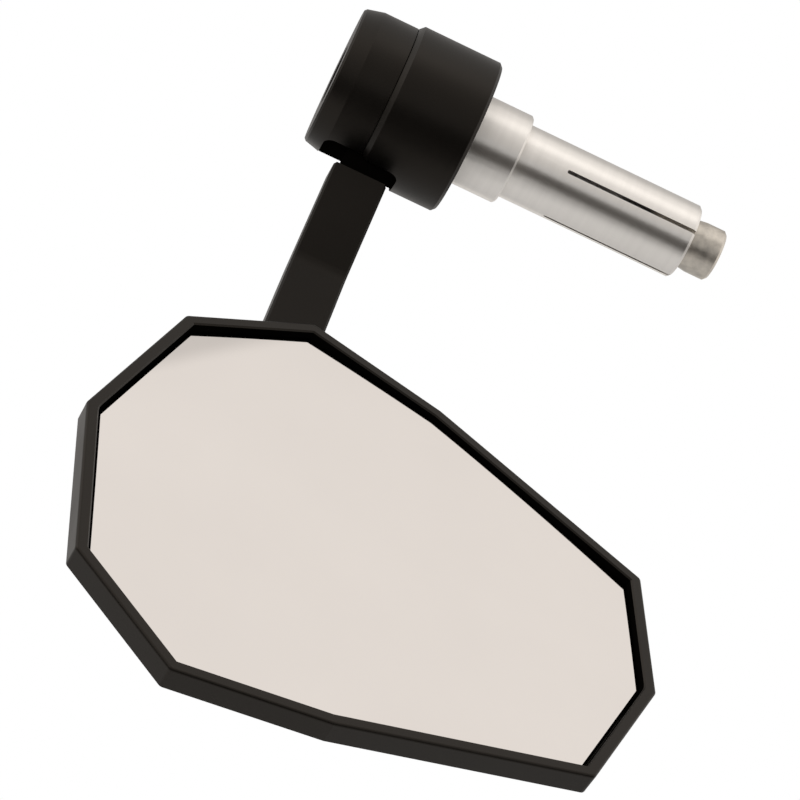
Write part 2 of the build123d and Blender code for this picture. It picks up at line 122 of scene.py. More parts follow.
# Ball stud, its washer and nut, in millimetres; heights are from the ball centre along the stud
BALL_RADIUS = 5.5
BALL_STEP = 9
BALL_END = 153
STUD_RADIUS = 3.0
STUD_NECK = 2.5
NECK_FILLET = 0.5
STUD_PLAIN_END = -17.4
STUD_END = -25.4
FLANGE_RADIUS = 4.5
FLANGE_TOP = -9.0
FLANGE_BASE = -10.5
FLANGE_CHAMFER = 0.3
FLANGE_EDGE = 0.1
STUD_WASHER = 5.5
STUD_WASHER_BORE = 3.05
STUD_WASHER_TOP = -17.5
NUT_TOP = -19.0
NUT_BASE = -24.0
NUT_HALF_WIDTH = 5.0
NUT_FACE = 4.75
NUT_BORE = 3.05
NUT_EDGE = 0.2
NUT_LEAD = 0.3
NUT_MOUTH = 3.4
NUT_CHAMFER = radians(30)

# Screws of the ball socket, in millimetres
SCREW_COUNT = 3
SCREW_CIRCLE = 9.5
SCREW_FACE = -5.15
SCREW_LENGTH = 8.5
SCREW_RADIUS = 1.25
SCREW_HEAD = 2.35
SCREW_HEAD_HEIGHT = 1.1
SCREW_SOCKET = 0.75
SCREW_SOCKET_DEPTH = 1.0
SCREW_EDGE = 0.06
SCREW_POINT = 0.2
SCREW_SEGMENTS = 36

# Noise in the finishes: marks a metre along X, Y and Z, and the stretch of its height in use
BLACK_CLOUDS = (60, 60, 60)
BLAST_GRAIN = (5200, 5200, 5200)
LATHE_RINGS = (4200, 30, 30)
LATHE_BANDS = (700, 20, 20)
PLATING_STAIN = (420, 420, 420)
PLATING_GRAIN = (3000, 3000, 3000)
GLASS_HAZE = (45, 45, 45)
FLOOR_CLOUDS = (3, 3, 3)
NOISE_LOW = 0.3
NOISE_HIGH = 0.7

# Refractive index of the skin on the black pieces, and the tint of its shine
HEAD_INDEX = 1.35
ARM_INDEX = 1.26
HOUSING_INDEX = 1.38
BLACK_SHINE = (1.0, 0.88, 0.76, 1.0)

# Directions to the dim walls and the soft glows of the room, and how much each takes or adds
BACK_WALL = (0.0, 0.64, 0.77)
LEFT_WALL = (-0.763, 0.647, 0.0)
BROW = (0.1, -0.64, 0.762)
SIDE_GLOW = (-0.78, -0.497, 0.381)
FRONT_SHADE = 0.5
BACK_SHADE = 0.25
LEFT_SHADE = 0.22
SIDE_STRENGTH = 0.7
FILL_STRENGTH = 0.6

# Tints of the light
WHITE = (1.0, 1.0, 1.0)
ROOM_TINT = (1.0, 0.965, 0.93)
FILL_TINT = (1.0, 0.985, 0.97)
LAMP_TINT = (1.0, 0.97, 0.94)

# Floor, the card that lies on it, which paints a dark reflection, and the lamp's place from the middle
# of the part, in metres
FLOOR_COLOUR = (0.86, 0.86, 0.86)
FLOOR_HALF_SIZE = (2.5, 2.5)
CARD_COLOUR = (0.05, 0.045, 0.04)
CARD_HALF_SIZE = (1.2, 0.24)
CARD_FORWARD = -0.40
CARD_LIFT = 5 * MM
LAMP_UP = 0.55
LAMP_LEFT = 0.3
LAMP_FORWARD = 0.25
LAMP_SIZE = 0.5
SENSOR_WIDTH = 36.0
CLIP_START = 0.01


class BarMirrorGlass(bpy.types.PropertyGroup):
    """Sizes of the mirror glass"""

    inset: bpy.props.FloatProperty(
        name="Inset",
        description="Edge of the glass inside the outline of the rim",
        unit="LENGTH",
        min=0.0,
        default=2.25 * MM,
    )
    front: bpy.props.FloatProperty(
        name="Rim front",
        description="Front of the rim before the ball centre",
        unit="LENGTH",
        default=12.0 * MM,
    )
    recess: bpy.props.FloatProperty(
        name="Recess",
        description="Farthest corner of the glass below the rim",
        unit="LENGTH",
        default=1.6 * MM,
    )
    curve_radius: bpy.props.FloatProperty(
        name="Curve radius",
        description="Radius of the convex glass",
        unit="LENGTH",
        min=0.2,
        default=1.2,
    )
    thickness: bpy.props.FloatProperty(
        name="Thickness",
        description="Thickness of the glass",
        unit="LENGTH",
        default=2.0 * MM,
    )
    ground_edge: bpy.props.FloatProperty(
        name="Ground edge",
        description="Width of the ground front edge",
        unit="LENGTH",
        default=0.35 * MM,
    )


class BarMirrorThreads(bpy.types.PropertyGroup):
    """Sizes of the screwed parts"""

    pitch: bpy.props.FloatProperty(
        name="Pitch",
        description="Pitch of the M6 threads",
        unit="LENGTH",
        min=0.0002,
        default=1.0 * MM,
    )
    major: bpy.props.FloatProperty(
        name="Crest radius",
        description="Radius over the crests of the M6 threads",
        unit="LENGTH",
        default=2.98 * MM,
    )
    minor: bpy.props.FloatProperty(
        name="Root radius",
        description="Radius at the roots of the M6 threads",
        unit="LENGTH",
        default=2.4 * MM,
    )
    bolt_thread: bpy.props.FloatProperty(
        name="Bolt thread",
        description="Threaded length of the draw bolt",
        unit="LENGTH",
        default=20.0 * MM,
    )


class BarMirrorFinishes(bpy.types.PropertyGroup):
    """Colours and gloss of the finishes"""

    black: bpy.props.FloatVectorProperty(
        name="Black",
        description="Anodised head, arm and housing",
        subtype="COLOR",
        size=3,
        min=0.0,
        max=1.0,
        default=(0.0024, 0.0021, 0.0018),
    )
    black_roughness: bpy.props.FloatProperty(
        name="Black roughness",
        description="How far the black finish spreads a highlight",
        subtype="FACTOR",
        min=0.0,
        max=1.0,
        default=0.36,
    )
    bright: bpy.props.FloatVectorProperty(
        name="Bright aluminium",
        description="Turned sleeve and collar",
        subtype="COLOR",
        size=3,
        min=0.0,
        max=1.0,
        default=(0.93, 0.90, 0.86),
    )
    zinc: bpy.props.FloatVectorProperty(
        name="Zinc",
        description="Plated wedge nut",
        subtype="COLOR",
        size=3,
        min=0.0,
        max=1.0,
        default=(0.60, 0.56, 0.50),
    )
    steel: bpy.props.FloatVectorProperty(
        name="Steel",
        description="Screws, washers, nut and ball",
        subtype="COLOR",
        size=3,
        min=0.0,
        max=1.0,
        default=(0.50, 0.50, 0.51),
    )
    silver: bpy.props.FloatVectorProperty(
        name="Silvering",
        description="Mirror coating of the glass",
        subtype="COLOR",
        size=3,
        min=0.0,
        max=1.0,
        default=(0.752, 0.715, 0.687),
    )
    liner: bpy.props.FloatVectorProperty(
        name="Liner",
        description="Friction liners round the ball",
        subtype="COLOR",
        size=3,
        min=0.0,
        max=1.0,
        default=(0.72, 0.70, 0.64),
    )
    foam: bpy.props.FloatVectorProperty(
        name="Foam",
        description="Adhesive pad behind the glass",
        subtype="COLOR",
        size=3,
        min=0.0,
        max=1.0,
        default=(0.03, 0.03, 0.03),
    )


class BarMirrorStudio(bpy.types.PropertyGroup):
    """Camera, light and floor"""

    camera_place: bpy.props.FloatVectorProperty(
        name="Camera place",
        description="Where the camera stands",
        subtype="TRANSLATION",
        unit="LENGTH",
        size=3,
        default=(-0.04925, -0.4502, -0.2548),
    )
    camera_right: bpy.props.FloatVectorProperty(
        name="Camera right",
        description="Direction of the picture's right side",
        subtype="DIRECTION",
        size=3,
        default=(0.90177, -0.25112, 0.35179),
    )
    camera_down: bpy.props.FloatVectorProperty(
        name="Camera down",
        description="Direction of the picture's lower side",
        subtype="DIRECTION",
        size=3,
        default=(0.42171, 0.33275, -0.84347),
    )
    lens: bpy.props.FloatProperty(
        name="Lens",
        description="Focal length",
        unit="CAMERA",
        min=20.0,
        default=126.0,
    )
    floor_height: bpy.props.FloatProperty(
        name="Floor height",
        description="Height of the floor in the part's frame",
        unit="LENGTH",
        default=-0.31,
    )
    key_power: bpy.props.FloatProperty(
        name="Key power",
        description="Large lamp above and to the left",
        unit="POWER",
        min=0.0,
        default=2.6,
    )
    brow_strength: bpy.props.FloatProperty(
        name="Brow strength",
        description="Soft light in front, above the camera, over that of the room",
        subtype="FACTOR",
        min=0.0,
        default=0.45,
    )


def noise(tree, marks, detail):
    """Height of a noise on Object coordinates, with its marks a metre for each axis."""
    coordinates = tree.nodes.new("ShaderNodeTexCoord")
    mapping = tree.nodes.new("ShaderNodeMapping")
    mapping.inputs["Scale"].default_value = marks
    tree.links.new(coordinates.outputs["Object"], mapping.inputs["Vector"])
    texture = tree.nodes.new("ShaderNodeTexNoise")
    texture.inputs["Scale"].default_value = 1.0
    texture.inputs["Detail"].default_value = detail
    tree.links.new(mapping.outputs["Vector"], texture.inputs["Vector"])
    return texture.outputs["Fac"]


def between(tree, height, low, high):
    """A value that runs from low to high with the height of a noise."""
    spread = tree.nodes.new("ShaderNodeMapRange")
    spread.inputs["From Min"].default_value = NOISE_LOW
    spread.inputs["From Max"].default_value = NOISE_HIGH
    spread.inputs["To Min"].default_value = low
    spread.inputs["To Max"].default_value = high
    tree.links.new(height, spread.inputs["Value"])
    return spread.outputs["Result"]


def tinted(tree, height, colour, low, high):
    """The colour, darkened or lightened from low to high with the height of a noise."""
    ramp = tree.nodes.new("ShaderNodeValToRGB")
    stops = ramp.color_ramp.elements
    for stop, position, shade in ((stops[0], NOISE_LOW, low), (stops[1], NOISE_HIGH, high)):
        stop.position = position
        stop.color = [min(part * shade, 1.0) for part in colour] + [1.0]
    tree.links.new(height, ramp.inputs["Fac"])
    return ramp.outputs["Color"]


def bump(tree, height, depth, strength):
    """A normal from the height of a noise, with its depth in metres."""
    node = tree.nodes.new("ShaderNodeBump")
    node.inputs["Strength"].default_value = strength
    node.inputs["Distance"].default_value = depth
    tree.links.new(height, node.inputs["Height"])
    return node.outputs["Normal"]


def new_material(name):
    """A material with its node tree and principled shader."""
    material = bpy.data.materials.new(name)
    material.use_nodes = True
    tree = material.node_tree
    return material, tree, tree.nodes["Principled BSDF"]


def feed(tree, socket, value):
    """Sets a socket to a number, or links it to another socket."""
    if isinstance(value, (int, float)):
        socket.default_value = value
    else:
        tree.links.new(value, socket)


def combine(tree, operation, first, second):
    """Math of two values or sockets."""
    math = tree.nodes.new("ShaderNodeMath")
    math.operation = operation
    feed(tree, math.inputs[0], first)
    feed(tree, math.inputs[1], second)
    return math.outputs["Value"]


def satin_black(name, finishes, index):
    """Bead-blasted, anodised aluminium: fine grain, faint clouds in its gloss."""
    material, tree, shader = new_material(name)
    clouds = noise(tree, BLACK_CLOUDS, detail=4)
    grain = noise(tree, BLAST_GRAIN, detail=2)
    rough = finishes.black_roughness
    tree.links.new(tinted(tree, clouds, finishes.black, 0.75, 1.3), shader.inputs["Base Color"])
    tree.links.new(between(tree, clouds, rough - 0.05, rough + 0.05), shader.inputs["Roughness"])
    tree.links.new(bump(tree, grain, depth=0.02 * MM, strength=0.35), shader.inputs["Normal"])
    shader.inputs["IOR"].default_value = index
    shader.inputs["Specular Tint"].default_value = BLACK_SHINE
    return material


def painted_shade_black(name, finishes):
    """The same black, darker and without gloss: painted shade for walls that lie deep in a gap."""
    material, tree, shader = new_material(name)
    clouds = noise(tree, BLACK_CLOUDS, detail=4)
    tree.links.new(tinted(tree, clouds, finishes.black, 0.5, 0.9), shader.inputs["Base Color"])
    tree.links.new(between(tree, clouds, 0.85, 0.95), shader.inputs["Roughness"])
    shader.inputs["IOR"].default_value = 1.0
    return material


def turned_metal(name, colour, roughness, ring_depth):
    """Metal off the lathe: rings round the bar axis, which draw its shine out along that axis."""
    material, tree, shader = new_material(name)
    rings = noise(tree, LATHE_RINGS, detail=2)
    bands = noise(tree, LATHE_BANDS, detail=3)
    tree.links.new(tinted(tree, bands, colour, 0.97, 1.02), shader.inputs["Base Color"])
    tree.links.new(between(tree, rings, roughness - 0.02, roughness + 0.02), shader.inputs["Roughness"])
    tree.links.new(bump(tree, rings, ring_depth, strength=0.5), shader.inputs["Normal"])
    around = tree.nodes.new("ShaderNodeTangent")
    around.direction_type = "RADIAL"
    around.axis = "X"
    tree.links.new(around.outputs["Tangent"], shader.inputs["Tangent"])
    shader.inputs["Anisotropic"].default_value = 0.9
    shader.inputs["Anisotropic Rotation"].default_value = 0.25
    shader.inputs["Metallic"].default_value = 1.0
    return material


def plated_steel(name, colour, roughness):
    """Dull plating with a grainy, slightly stained skin."""
    material, tree, shader = new_material(name)
    stain = noise(tree, PLATING_STAIN, detail=5)
    grain = noise(tree, PLATING_GRAIN, detail=3)
    tree.links.new(tinted(tree, stain, colour, 0.7, 1.25), shader.inputs["Base Color"])
    tree.links.new(between(tree, stain, roughness - 0.1, roughness + 0.1), shader.inputs["Roughness"])
    tree.links.new(bump(tree, grain, depth=0.04 * MM, strength=0.5), shader.inputs["Normal"])
    shader.inputs["Metallic"].default_value = 1.0
    return material


def moulded(name, colour, roughness, grain_marks, grain_depth):
    """Plastic, foam or felt with a fine grain."""
    material, tree, shader = new_material(name)
    grain = noise(tree, (grain_marks,) * 3, detail=4)
    tree.links.new(tinted(tree, grain, colour, 0.8, 1.15), shader.inputs["Base Color"])
    tree.links.new(between(tree, grain, roughness - 0.06, roughness + 0.06), shader.inputs["Roughness"])
    tree.links.new(bump(tree, grain, grain_depth, strength=0.5), shader.inputs["Normal"])
    return material


def silvered(name, colour):
    """Mirror coating seen through clear glass, with the faintest haze."""
    material, tree, shader = new_material(name)
    haze = noise(tree, GLASS_HAZE, detail=3)
    tree.links.new(tinted(tree, haze, colour, 0.985, 1.01), shader.inputs["Base Color"])
    tree.links.new(between(tree, haze, 0.02, 0.035), shader.inputs["Roughness"])
    shader.inputs["Metallic"].default_value = 1.0
    return material


def lathe(points, segments=48):
    """A turned shape about the local Z axis from (height, radius) points in millimetres."""
    bm = bmesh.new()
    verts = [bm.verts.new((radius * MM, 0, height * MM)) for height, radius in points]
    edges = [bm.edges.new(pair) for pair in zip(verts, verts[1:])]
    bmesh.ops.spin(
        bm,
        geom=verts + edges,
        cent=(0, 0, 0),
        axis=(0, 0, 1),
        dvec=(0, 0, 0),
        angle=2 * pi,
        steps=segments,
        use_merge=True,
    )
    bmesh.ops.remove_doubles(bm, verts=bm.verts, dist=TINY)
    bmesh.ops.recalc_face_normals(bm, faces=bm.faces)
    return bm


def hexagonal(bm, radius):
    """Moves the rings of this radius, in millimetres, out to a hexagon with that half width."""
    moved = []
    for vert in bm.verts:
        if abs(hypot(vert.co.x, vert.co.y) - radius * MM) < TINY:
            turn = atan2(vert.co.y, vert.co.x) % (pi / 3) - pi / 6
            vert.co.xy = vert.co.xy / cos(turn)
            moved.append(vert)
    if not moved:
        raise RuntimeError(f"no ring of radius {radius} mm to make hexagonal")
    return moved


def washer_section(top, base, bore, radius):
    """Section of a washer between two heights, with its outer edges broken, for the lathe."""
    edge = copysign(WASHER_EDGE, base - top)
    return [
        (top, bore),
        (top, radius - WASHER_EDGE),
        (top + edge, radius),
        (base - edge, radius),
        (base, radius - WASHER_EDGE),
        (base, bore),
        (top, bore),
    ]


def add_thread(bm, threads, low, high):
    """Adds a closed screw thread about the local Z axis between two heights in metres."""
    screw = bmesh.new()
    pitch = threads.pitch
    shape = ((0.0, threads.minor), (0.44, threads.major), (0.56, threads.major), (1.0, threads.minor))
    verts = [screw.verts.new((radius, 0, low + (part - 1) * pitch)) for part, radius in shape]
    edges = [screw.edges.new(pair) for pair in zip(verts, verts[1:])]
    turns = int((high - low) / pitch) + 2
    bmesh.ops.spin(
        screw,
        geom=verts + edges,
        cent=(0, 0, 0),
        axis=(0, 0, 1),
        dvec=(0, 0, pitch / THREAD_STEPS),
        angle=2 * pi * turns,
        steps=THREAD_STEPS * turns,
    )
    bmesh.ops.remove_doubles(screw, verts=screw.verts, dist=10 * TINY)
    for height, ends in ((low, {"clear_inner": True}), (high, {"clear_outer": True})):
        geom = screw.verts[:] + screw.edges[:] + screw.faces[:]
        bmesh.ops.bisect_plane(screw, geom=geom, plane_co=(0, 0, height), plane_no=(0, 0, 1), **ends)
    bmesh.ops.dissolve_degenerate(screw, dist=20 * TINY, edges=screw.edges)
    bmesh.ops.holes_fill(screw, edges=[edge for edge in screw.edges if edge.is_boundary], sides=0)
    bmesh.ops.recalc_face_normals(screw, faces=screw.faces)
    mesh = bpy.data.meshes.new("thread")
    screw.to_mesh(mesh)
    screw.free()
    bm.from_mesh(mesh)
    bpy.data.meshes.remove(mesh)


def add_piece(name, bm, place, body, node, material, sharp=35.0):
    """A finished piece that stands for a CAD node and rides on a body."""
    bmesh.ops.transform(bm, matrix=place, verts=bm.verts)
    mesh = bpy.data.meshes.new(name)
    bm.to_mesh(mesh)
    bm.free()
    mesh.shade_smooth()
    mesh.set_sharp_from_angle(angle=radians(sharp))
    mesh.materials.append(material)
    piece = bpy.data.objects.new(name, mesh)
    bpy.context.scene.collection.objects.link(piece)
    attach(piece, body)
    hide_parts(node)


def dress(node, material, painted_gap_shade=None, in_painted_shade=None):
    """Gives a CAD node this material, and a second one, a painted shade, to the faces that a test picks.
    """
    data = frame["nodes"][node].data
    data.materials.clear()
    data.materials.append(material)
    if in_painted_shade is None:
        return
    data.materials.append(painted_gap_shade)
    picked = [face for face in data.polygons if in_painted_shade(face)]
    if not picked:
        raise RuntimeError(f"no face of {node} lies in a gap")
    for face in picked:
        face.material_index = 1


def notch_painted_dark(face):
    """Whether a face of the head is a wall of the notch round the arm's neck, which gets a painted
    shade.
    """
    x, y, z = face.center
    if z > -NOTCH_ROOF or y < NOTCH_LIP or not NOTCH_OUTER < x < NOTCH_INNER:
        return False
    reach = hypot(y, z)
    return reach < NOTCH_REACH or (face.normal.y * y + face.normal.z * z) / reach < SKIN_FACING


def neck_painted_dark(face):
    """Whether a face of the arm lies above its shoulder, where it gets a painted shade."""
    return face.center.z > -ARM_SHOULDER


class BARMIRROR_OT_insert(bpy.types.Operator):
    """Finish the collar, the slotted sleeve and the wedge nut"""

    bl_idname = "barmirror.insert"
    bl_label = "Bar Insert"

    def execute(self, context):
        finishes = context.scene.bar_mirror_finishes
        bright = turned_metal("turned_aluminium", finishes.bright, roughness=0.42, ring_depth=0.002 * MM)
        dress("spacer_collar", bright)
        dress("expander_sleeve", bright)
        dress("wedge_cone", plated_steel("zinc_plate", finishes.zinc, roughness=0.38))
        return {"FINISHED"}


class BARMIRROR_OT_head(bpy.types.Operator):
    """Finish the head, its cap and the arm, with a painted shade in the notch and on the arm's neck"""

    bl_idname = "barmirror.head"
    bl_label = "Head and Arm"

    def execute(self, context):
        finishes = context.scene.bar_mirror_finishes
        black = satin_black("satin_black", finishes, HEAD_INDEX)
        # Painted shade: the notch walls and the arm's neck get a darker black without gloss.
        painted_gap_shade = painted_shade_black("painted_shade_notch_black", finishes)
        dress("head_body", black, painted_gap_shade, notch_painted_dark)
        dress("outer_cap", black, painted_gap_shade, notch_painted_dark)
        dress("arm", satin_black("satin_black_arm", finishes, ARM_INDEX), painted_gap_shade, neck_painted_dark)
        return {"FINISHED"}


class BARMIRROR_OT_mirror(bpy.types.Operator):
    """Finish the housing, the pad behind the glass and the ball socket, with a painted shade on the
    rim's inner wall
    """

    bl_idname = "barmirror.mirror"
    bl_label = "Mirror"

    def execute(self, context):
        finishes = context.scene.bar_mirror_finishes
        black = satin_black("satin_black_housing", finishes, HOUSING_INDEX)
        glass = context.scene.bar_mirror_glass
        to_mirror = MIRROR_FRAME.inverted()
        wall_foot = glass.front - glass.recess - 2 * glass.thickness

        def rim_wall_painted_dark(face):
            """Whether a face of the housing is an inner wall of the rim, round the glass, which gets a
            painted shade.
            """
            place = to_mirror @ face.center
            normal = to_mirror.to_3x3() @ face.normal
            upright = abs(normal.z) < WALL_FACING and normal.xy.dot(MIRROR_MIDDLE - place.xy) > 0
            return upright and wall_foot < place.z < glass.front

        # Painted shade: the rim's inner wall gets a darker black without gloss.
        dress("mirror_housing", black, painted_shade_black("rim_painted_shade_wall", finishes), rim_wall_painted_dark)
        dress("ball_retainer", black)
        pad = moulded("pad_foam", finishes.foam, roughness=0.85, grain_marks=2500, grain_depth=0.1 * MM)
        dress("glass_pad", pad)
        liner = moulded(
            "liner_nylon", finishes.liner, roughness=0.45, grain_marks=1800, grain_depth=0.02 * MM
        )
        dress("ball_liner_front", liner)
        dress("ball_liner_rear", liner)
        return {"FINISHED"}


def inward(start, end):
    """Direction into an outline that runs clockwise, square to one of its sides."""
    return Vector((end.y - start.y, start.x - end.x, 0)).normalized()


def ring_inward(bm, loop, middle, scale):
    """Extrudes a closed loop of edges towards the middle and gives the new loop."""
    grown = bmesh.ops.extrude_edge_only(bm, edges=loop)["geom"]
    verts = {item for item in grown if isinstance(item, bmesh.types.BMVert)}
    edges = [item for item in grown if isinstance(item, bmesh.types.BMEdge)]
    bmesh.ops.scale(bm, vec=(scale, scale, 1), space=Matrix.Translation(-middle), verts=list(verts))
    return [edge for edge in edges if verts.issuperset(edge.verts)]


class BARMIRROR_OT_glass(bpy.types.Operator):
    """Make the convex glass with its ground edge"""

    bl_idname = "barmirror.glass"
    bl_label = "Glass"

    def execute(self, context):
        glass = context.scene.bar_mirror_glass
        half = [Vector((x, y, 0)) * MM for x, y in HALF_OUTLINE]
        corners = half + [Vector((corner.x, -corner.y, 0)) for corner in half[-2:0:-1]]
        middle = (half[0] + half[-1]) / 2
        bm = bmesh.new()
        rim = []
        for before, corner, after in zip(corners[-1:] + corners, corners, corners[1:] + corners[:1]):
            first = inward(before, corner)
            second = inward(corner, after)
            rim.append(bm.verts.new(corner + (first + second) * glass.inset / (1 + first.dot(second))))
        loop = [bm.edges.new(pair) for pair in zip(rim, rim[1:] + rim[:1])]
        bmesh.ops.subdivide_edges(bm, edges=loop, cuts=GLASS_CUTS)
        outer = bm.verts[:]
        loop = bm.edges[:]
        width = min((vert.co - middle).length for vert in outer)
        for scale in (1 - glass.ground_edge / width, *GLASS_RINGS):
            loop = ring_inward(bm, loop, middle, scale)
        bmesh.ops.remove_doubles(bm, verts=bm.verts, dist=TINY)
        if not bm.faces:
            raise RuntimeError("the outline leaves no glass")
        radius = glass.curve_radius
        reach = max((corner - middle).length for corner in half[1:-1])
        edge_height = sqrt(radius ** 2 - reach ** 2)
        for vert in bm.verts:
            height = sqrt(radius ** 2 - (vert.co - middle).length_squared)
            vert.co.z = glass.front - glass.recess + height - edge_height
        grown = bmesh.ops.extrude_face_region(bm, geom=bm.faces[:], use_keep_orig=True)
        below = [item for item in grown["geom"] if isinstance(item, bmesh.types.BMVert)]
        bmesh.ops.translate(bm, verts=below, vec=(0, 0, -glass.thickness))
        bmesh.ops.translate(bm, verts=outer, vec=(0, 0, -glass.ground_edge))
        bmesh.ops.recalc_face_normals(bm, faces=bm.faces)
        silver = silvered("silvered_glass", context.scene.bar_mirror_finishes.silver)
        add_piece(
            "convex_glass", bm, MIRROR_FRAME, "mirror", "mirror_glass", silver, GLASS_SHARP
        )
        return {"FINISHED"}


class BARMIRROR_OT_bolt(bpy.types.Operator):
    """Make the draw bolt with its hexagon socket and thread, and its washer"""

    bl_idname = "barmirror.bolt"
    bl_label = "Draw Bolt"

    def execute(self, context):
        threads = context.scene.bar_mirror_threads
        steel = plated_steel("bolt_steel", context.scene.bar_mirror_finishes.steel, roughness=0.3)
        low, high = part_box("draw_bolt")
        length = high.x - low.x
        turn = BAR_AXIS.to_track_quat("Z", "Y").to_matrix().to_4x4()
        plain_end = (length - threads.bolt_thread) / MM + BOLT_OVERLAP
        bolt = lathe([
            (BOLT_SOCKET_DEPTH + 0.2, 0.0),
            (BOLT_SOCKET_DEPTH, BOLT_SOCKET),
            (0.15, BOLT_SOCKET),
            (0.0, BOLT_SOCKET + 0.4),
            (0.0, BOLT_HEAD - 0.6),
            (0.08, BOLT_HEAD - 0.35),
            (0.3, BOLT_HEAD - 0.1),
            (0.55, BOLT_HEAD),
            (BOLT_HEAD_HEIGHT, BOLT_HEAD),
            (BOLT_HEAD_HEIGHT, BOLT_RADIUS + BOLT_FILLET),
            (BOLT_HEAD_HEIGHT + BOLT_FILLET, BOLT_RADIUS),
            (plain_end, BOLT_RADIUS),
            (plain_end + THREAD_RUN_OUT, BOLT_RADIUS - THREAD_RUN_OUT),
            (plain_end + THREAD_RUN_OUT, 0.0),
        ])
        hexagonal(bolt, BOLT_SOCKET)
        add_thread(bolt, threads, length - threads.bolt_thread, length)
        place = Matrix.Translation((low.x, 0, 0)) @ turn
        add_piece("socket_bolt", bolt, place, "bolt", "draw_bolt", steel)
        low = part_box("bolt_washer")[0]
        washer = lathe(washer_section(0.0, BOLT_WASHER_THICKNESS, BOLT_WASHER_BORE, BOLT_WASHER))
        place = Matrix.Translation((low.x, 0, 0)) @ turn
        add_piece("bolt_ring", washer, place, "bolt", "bolt_washer", steel)
        return {"FINISHED"}


class BARMIRROR_OT_ball_stud(bpy.types.Operator):
    """Make the ball stud with its thread, washer and hexagon nut"""

    bl_idname = "barmirror.ball_stud"
    bl_label = "Ball Stud"

    def execute(self, context):
        threads = context.scene.bar_mirror_threads
        steel = plated_steel("stud_steel", context.scene.bar_mirror_finishes.steel, roughness=0.28)
        angles = [radians(step) for step in range(0, BALL_END + 1, BALL_STEP)]
        stud = lathe([
            *((BALL_RADIUS * cos(angle), BALL_RADIUS * sin(angle)) for angle in angles),
            (FLANGE_TOP + NECK_FILLET, STUD_NECK),
            (FLANGE_TOP + 0.3 * NECK_FILLET, STUD_NECK + 0.3 * NECK_FILLET),
            (FLANGE_TOP, STUD_NECK + NECK_FILLET),
            (FLANGE_TOP, FLANGE_RADIUS - FLANGE_CHAMFER),
            (FLANGE_TOP - FLANGE_CHAMFER, FLANGE_RADIUS),
            (FLANGE_BASE + FLANGE_EDGE, FLANGE_RADIUS),
            (FLANGE_BASE, FLANGE_RADIUS - FLANGE_EDGE),
            (FLANGE_BASE, STUD_RADIUS),
            (STUD_PLAIN_END, STUD_RADIUS),
            (STUD_PLAIN_END - THREAD_RUN_OUT, STUD_RADIUS - THREAD_RUN_OUT),
            (STUD_PLAIN_END - THREAD_RUN_OUT, 0.0),
        ])
        add_thread(stud, threads, STUD_END * MM, STUD_WASHER_TOP * MM)
        add_piece("ball_pin", stud, STUD_FRAME, "head", "ball_stud", steel)
        washer = lathe(washer_section(STUD_WASHER_TOP, NUT_TOP, STUD_WASHER_BORE, STUD_WASHER))
        add_piece("pin_washer", washer, STUD_FRAME, "head", "stud_washer", steel)
        nut = lathe([
            (NUT_TOP, NUT_MOUTH),
            (NUT_TOP, NUT_FACE),
            (NUT_TOP - NUT_EDGE, NUT_HALF_WIDTH),
            (NUT_BASE + NUT_EDGE, NUT_HALF_WIDTH),
            (NUT_BASE, NUT_FACE),
            (NUT_BASE, NUT_MOUTH),
            (NUT_BASE + NUT_LEAD, NUT_BORE),
            (NUT_TOP - NUT_LEAD, NUT_BORE),
            (NUT_TOP, NUT_MOUTH),
        ])
        for vert in hexagonal(nut, NUT_HALF_WIDTH):
            slope = (hypot(vert.co.x, vert.co.y) - NUT_FACE * MM) * tan(NUT_CHAMFER)
            upper = vert.co.z > (NUT_TOP + NUT_BASE) / 2 * MM
            vert.co.z = NUT_TOP * MM - slope if upper else NUT_BASE * MM + slope
        add_piece("pin_nut", nut, STUD_FRAME, "head", "stud_nut", steel)
        return {"FINISHED"}


class BARMIRROR_OT_retainer_screws(bpy.types.Operator):
    """Make the three countersunk screws of the ball socket"""

    bl_idname = "barmirror.retainer_screws"
    bl_label = "Retainer Screws"

    def execute(self, context):
        steel = plated_steel("screw_steel", context.scene.bar_mirror_finishes.steel, roughness=0.25)
        seat = Matrix.Translation((0, SCREW_CIRCLE * MM, SCREW_FACE * MM))
        for number in range(SCREW_COUNT):
            screw = lathe([
                (SCREW_SOCKET_DEPTH + 0.1, 0.0),
                (SCREW_SOCKET_DEPTH, SCREW_SOCKET),
                (SCREW_EDGE, SCREW_SOCKET),
                (0.0, SCREW_SOCKET + 0.15),
                (0.0, SCREW_HEAD - 0.1),
                (SCREW_EDGE, SCREW_HEAD),
                (SCREW_HEAD_HEIGHT, SCREW_RADIUS),
                (SCREW_LENGTH - SCREW_POINT, SCREW_RADIUS),
                (SCREW_LENGTH, SCREW_RADIUS - SCREW_POINT),
                (SCREW_LENGTH, 0.0),
            ], SCREW_SEGMENTS)
            hexagonal(screw, SCREW_SOCKET)
            place = MIRROR_FRAME @ Matrix.Rotation(number * 2 * pi / SCREW_COUNT, 4, "Z") @ seat
            node = f"retainer_screw_{number + 1}"
            add_piece(f"socket_{node}", screw, place, "mirror", node, steel)
        return {"FINISHED"}


def direction_dot(tree, direction):
    """How far a world direction points this way, from -1 to 1."""
    coordinates = tree.nodes.new("ShaderNodeTexCoord")
    dot = tree.nodes.new("ShaderNodeVectorMath")
    dot.operation = "DOT_PRODUCT"
    dot.inputs[1].default_value = direction
    tree.links.new(coordinates.outputs["Generated"], dot.inputs[0])
    return dot.outputs["Value"]


def smooth_step(tree, value, start, end):
    """From 0 to 1 as the value passes from start to end."""
    step = tree.nodes.new("ShaderNodeMapRange")
    step.interpolation_type = "SMOOTHSTEP"
    step.inputs["From Min"].default_value = start
    step.inputs["From Max"].default_value = end
    tree.links.new(value, step.inputs["Value"])
    return step.outputs["Result"]


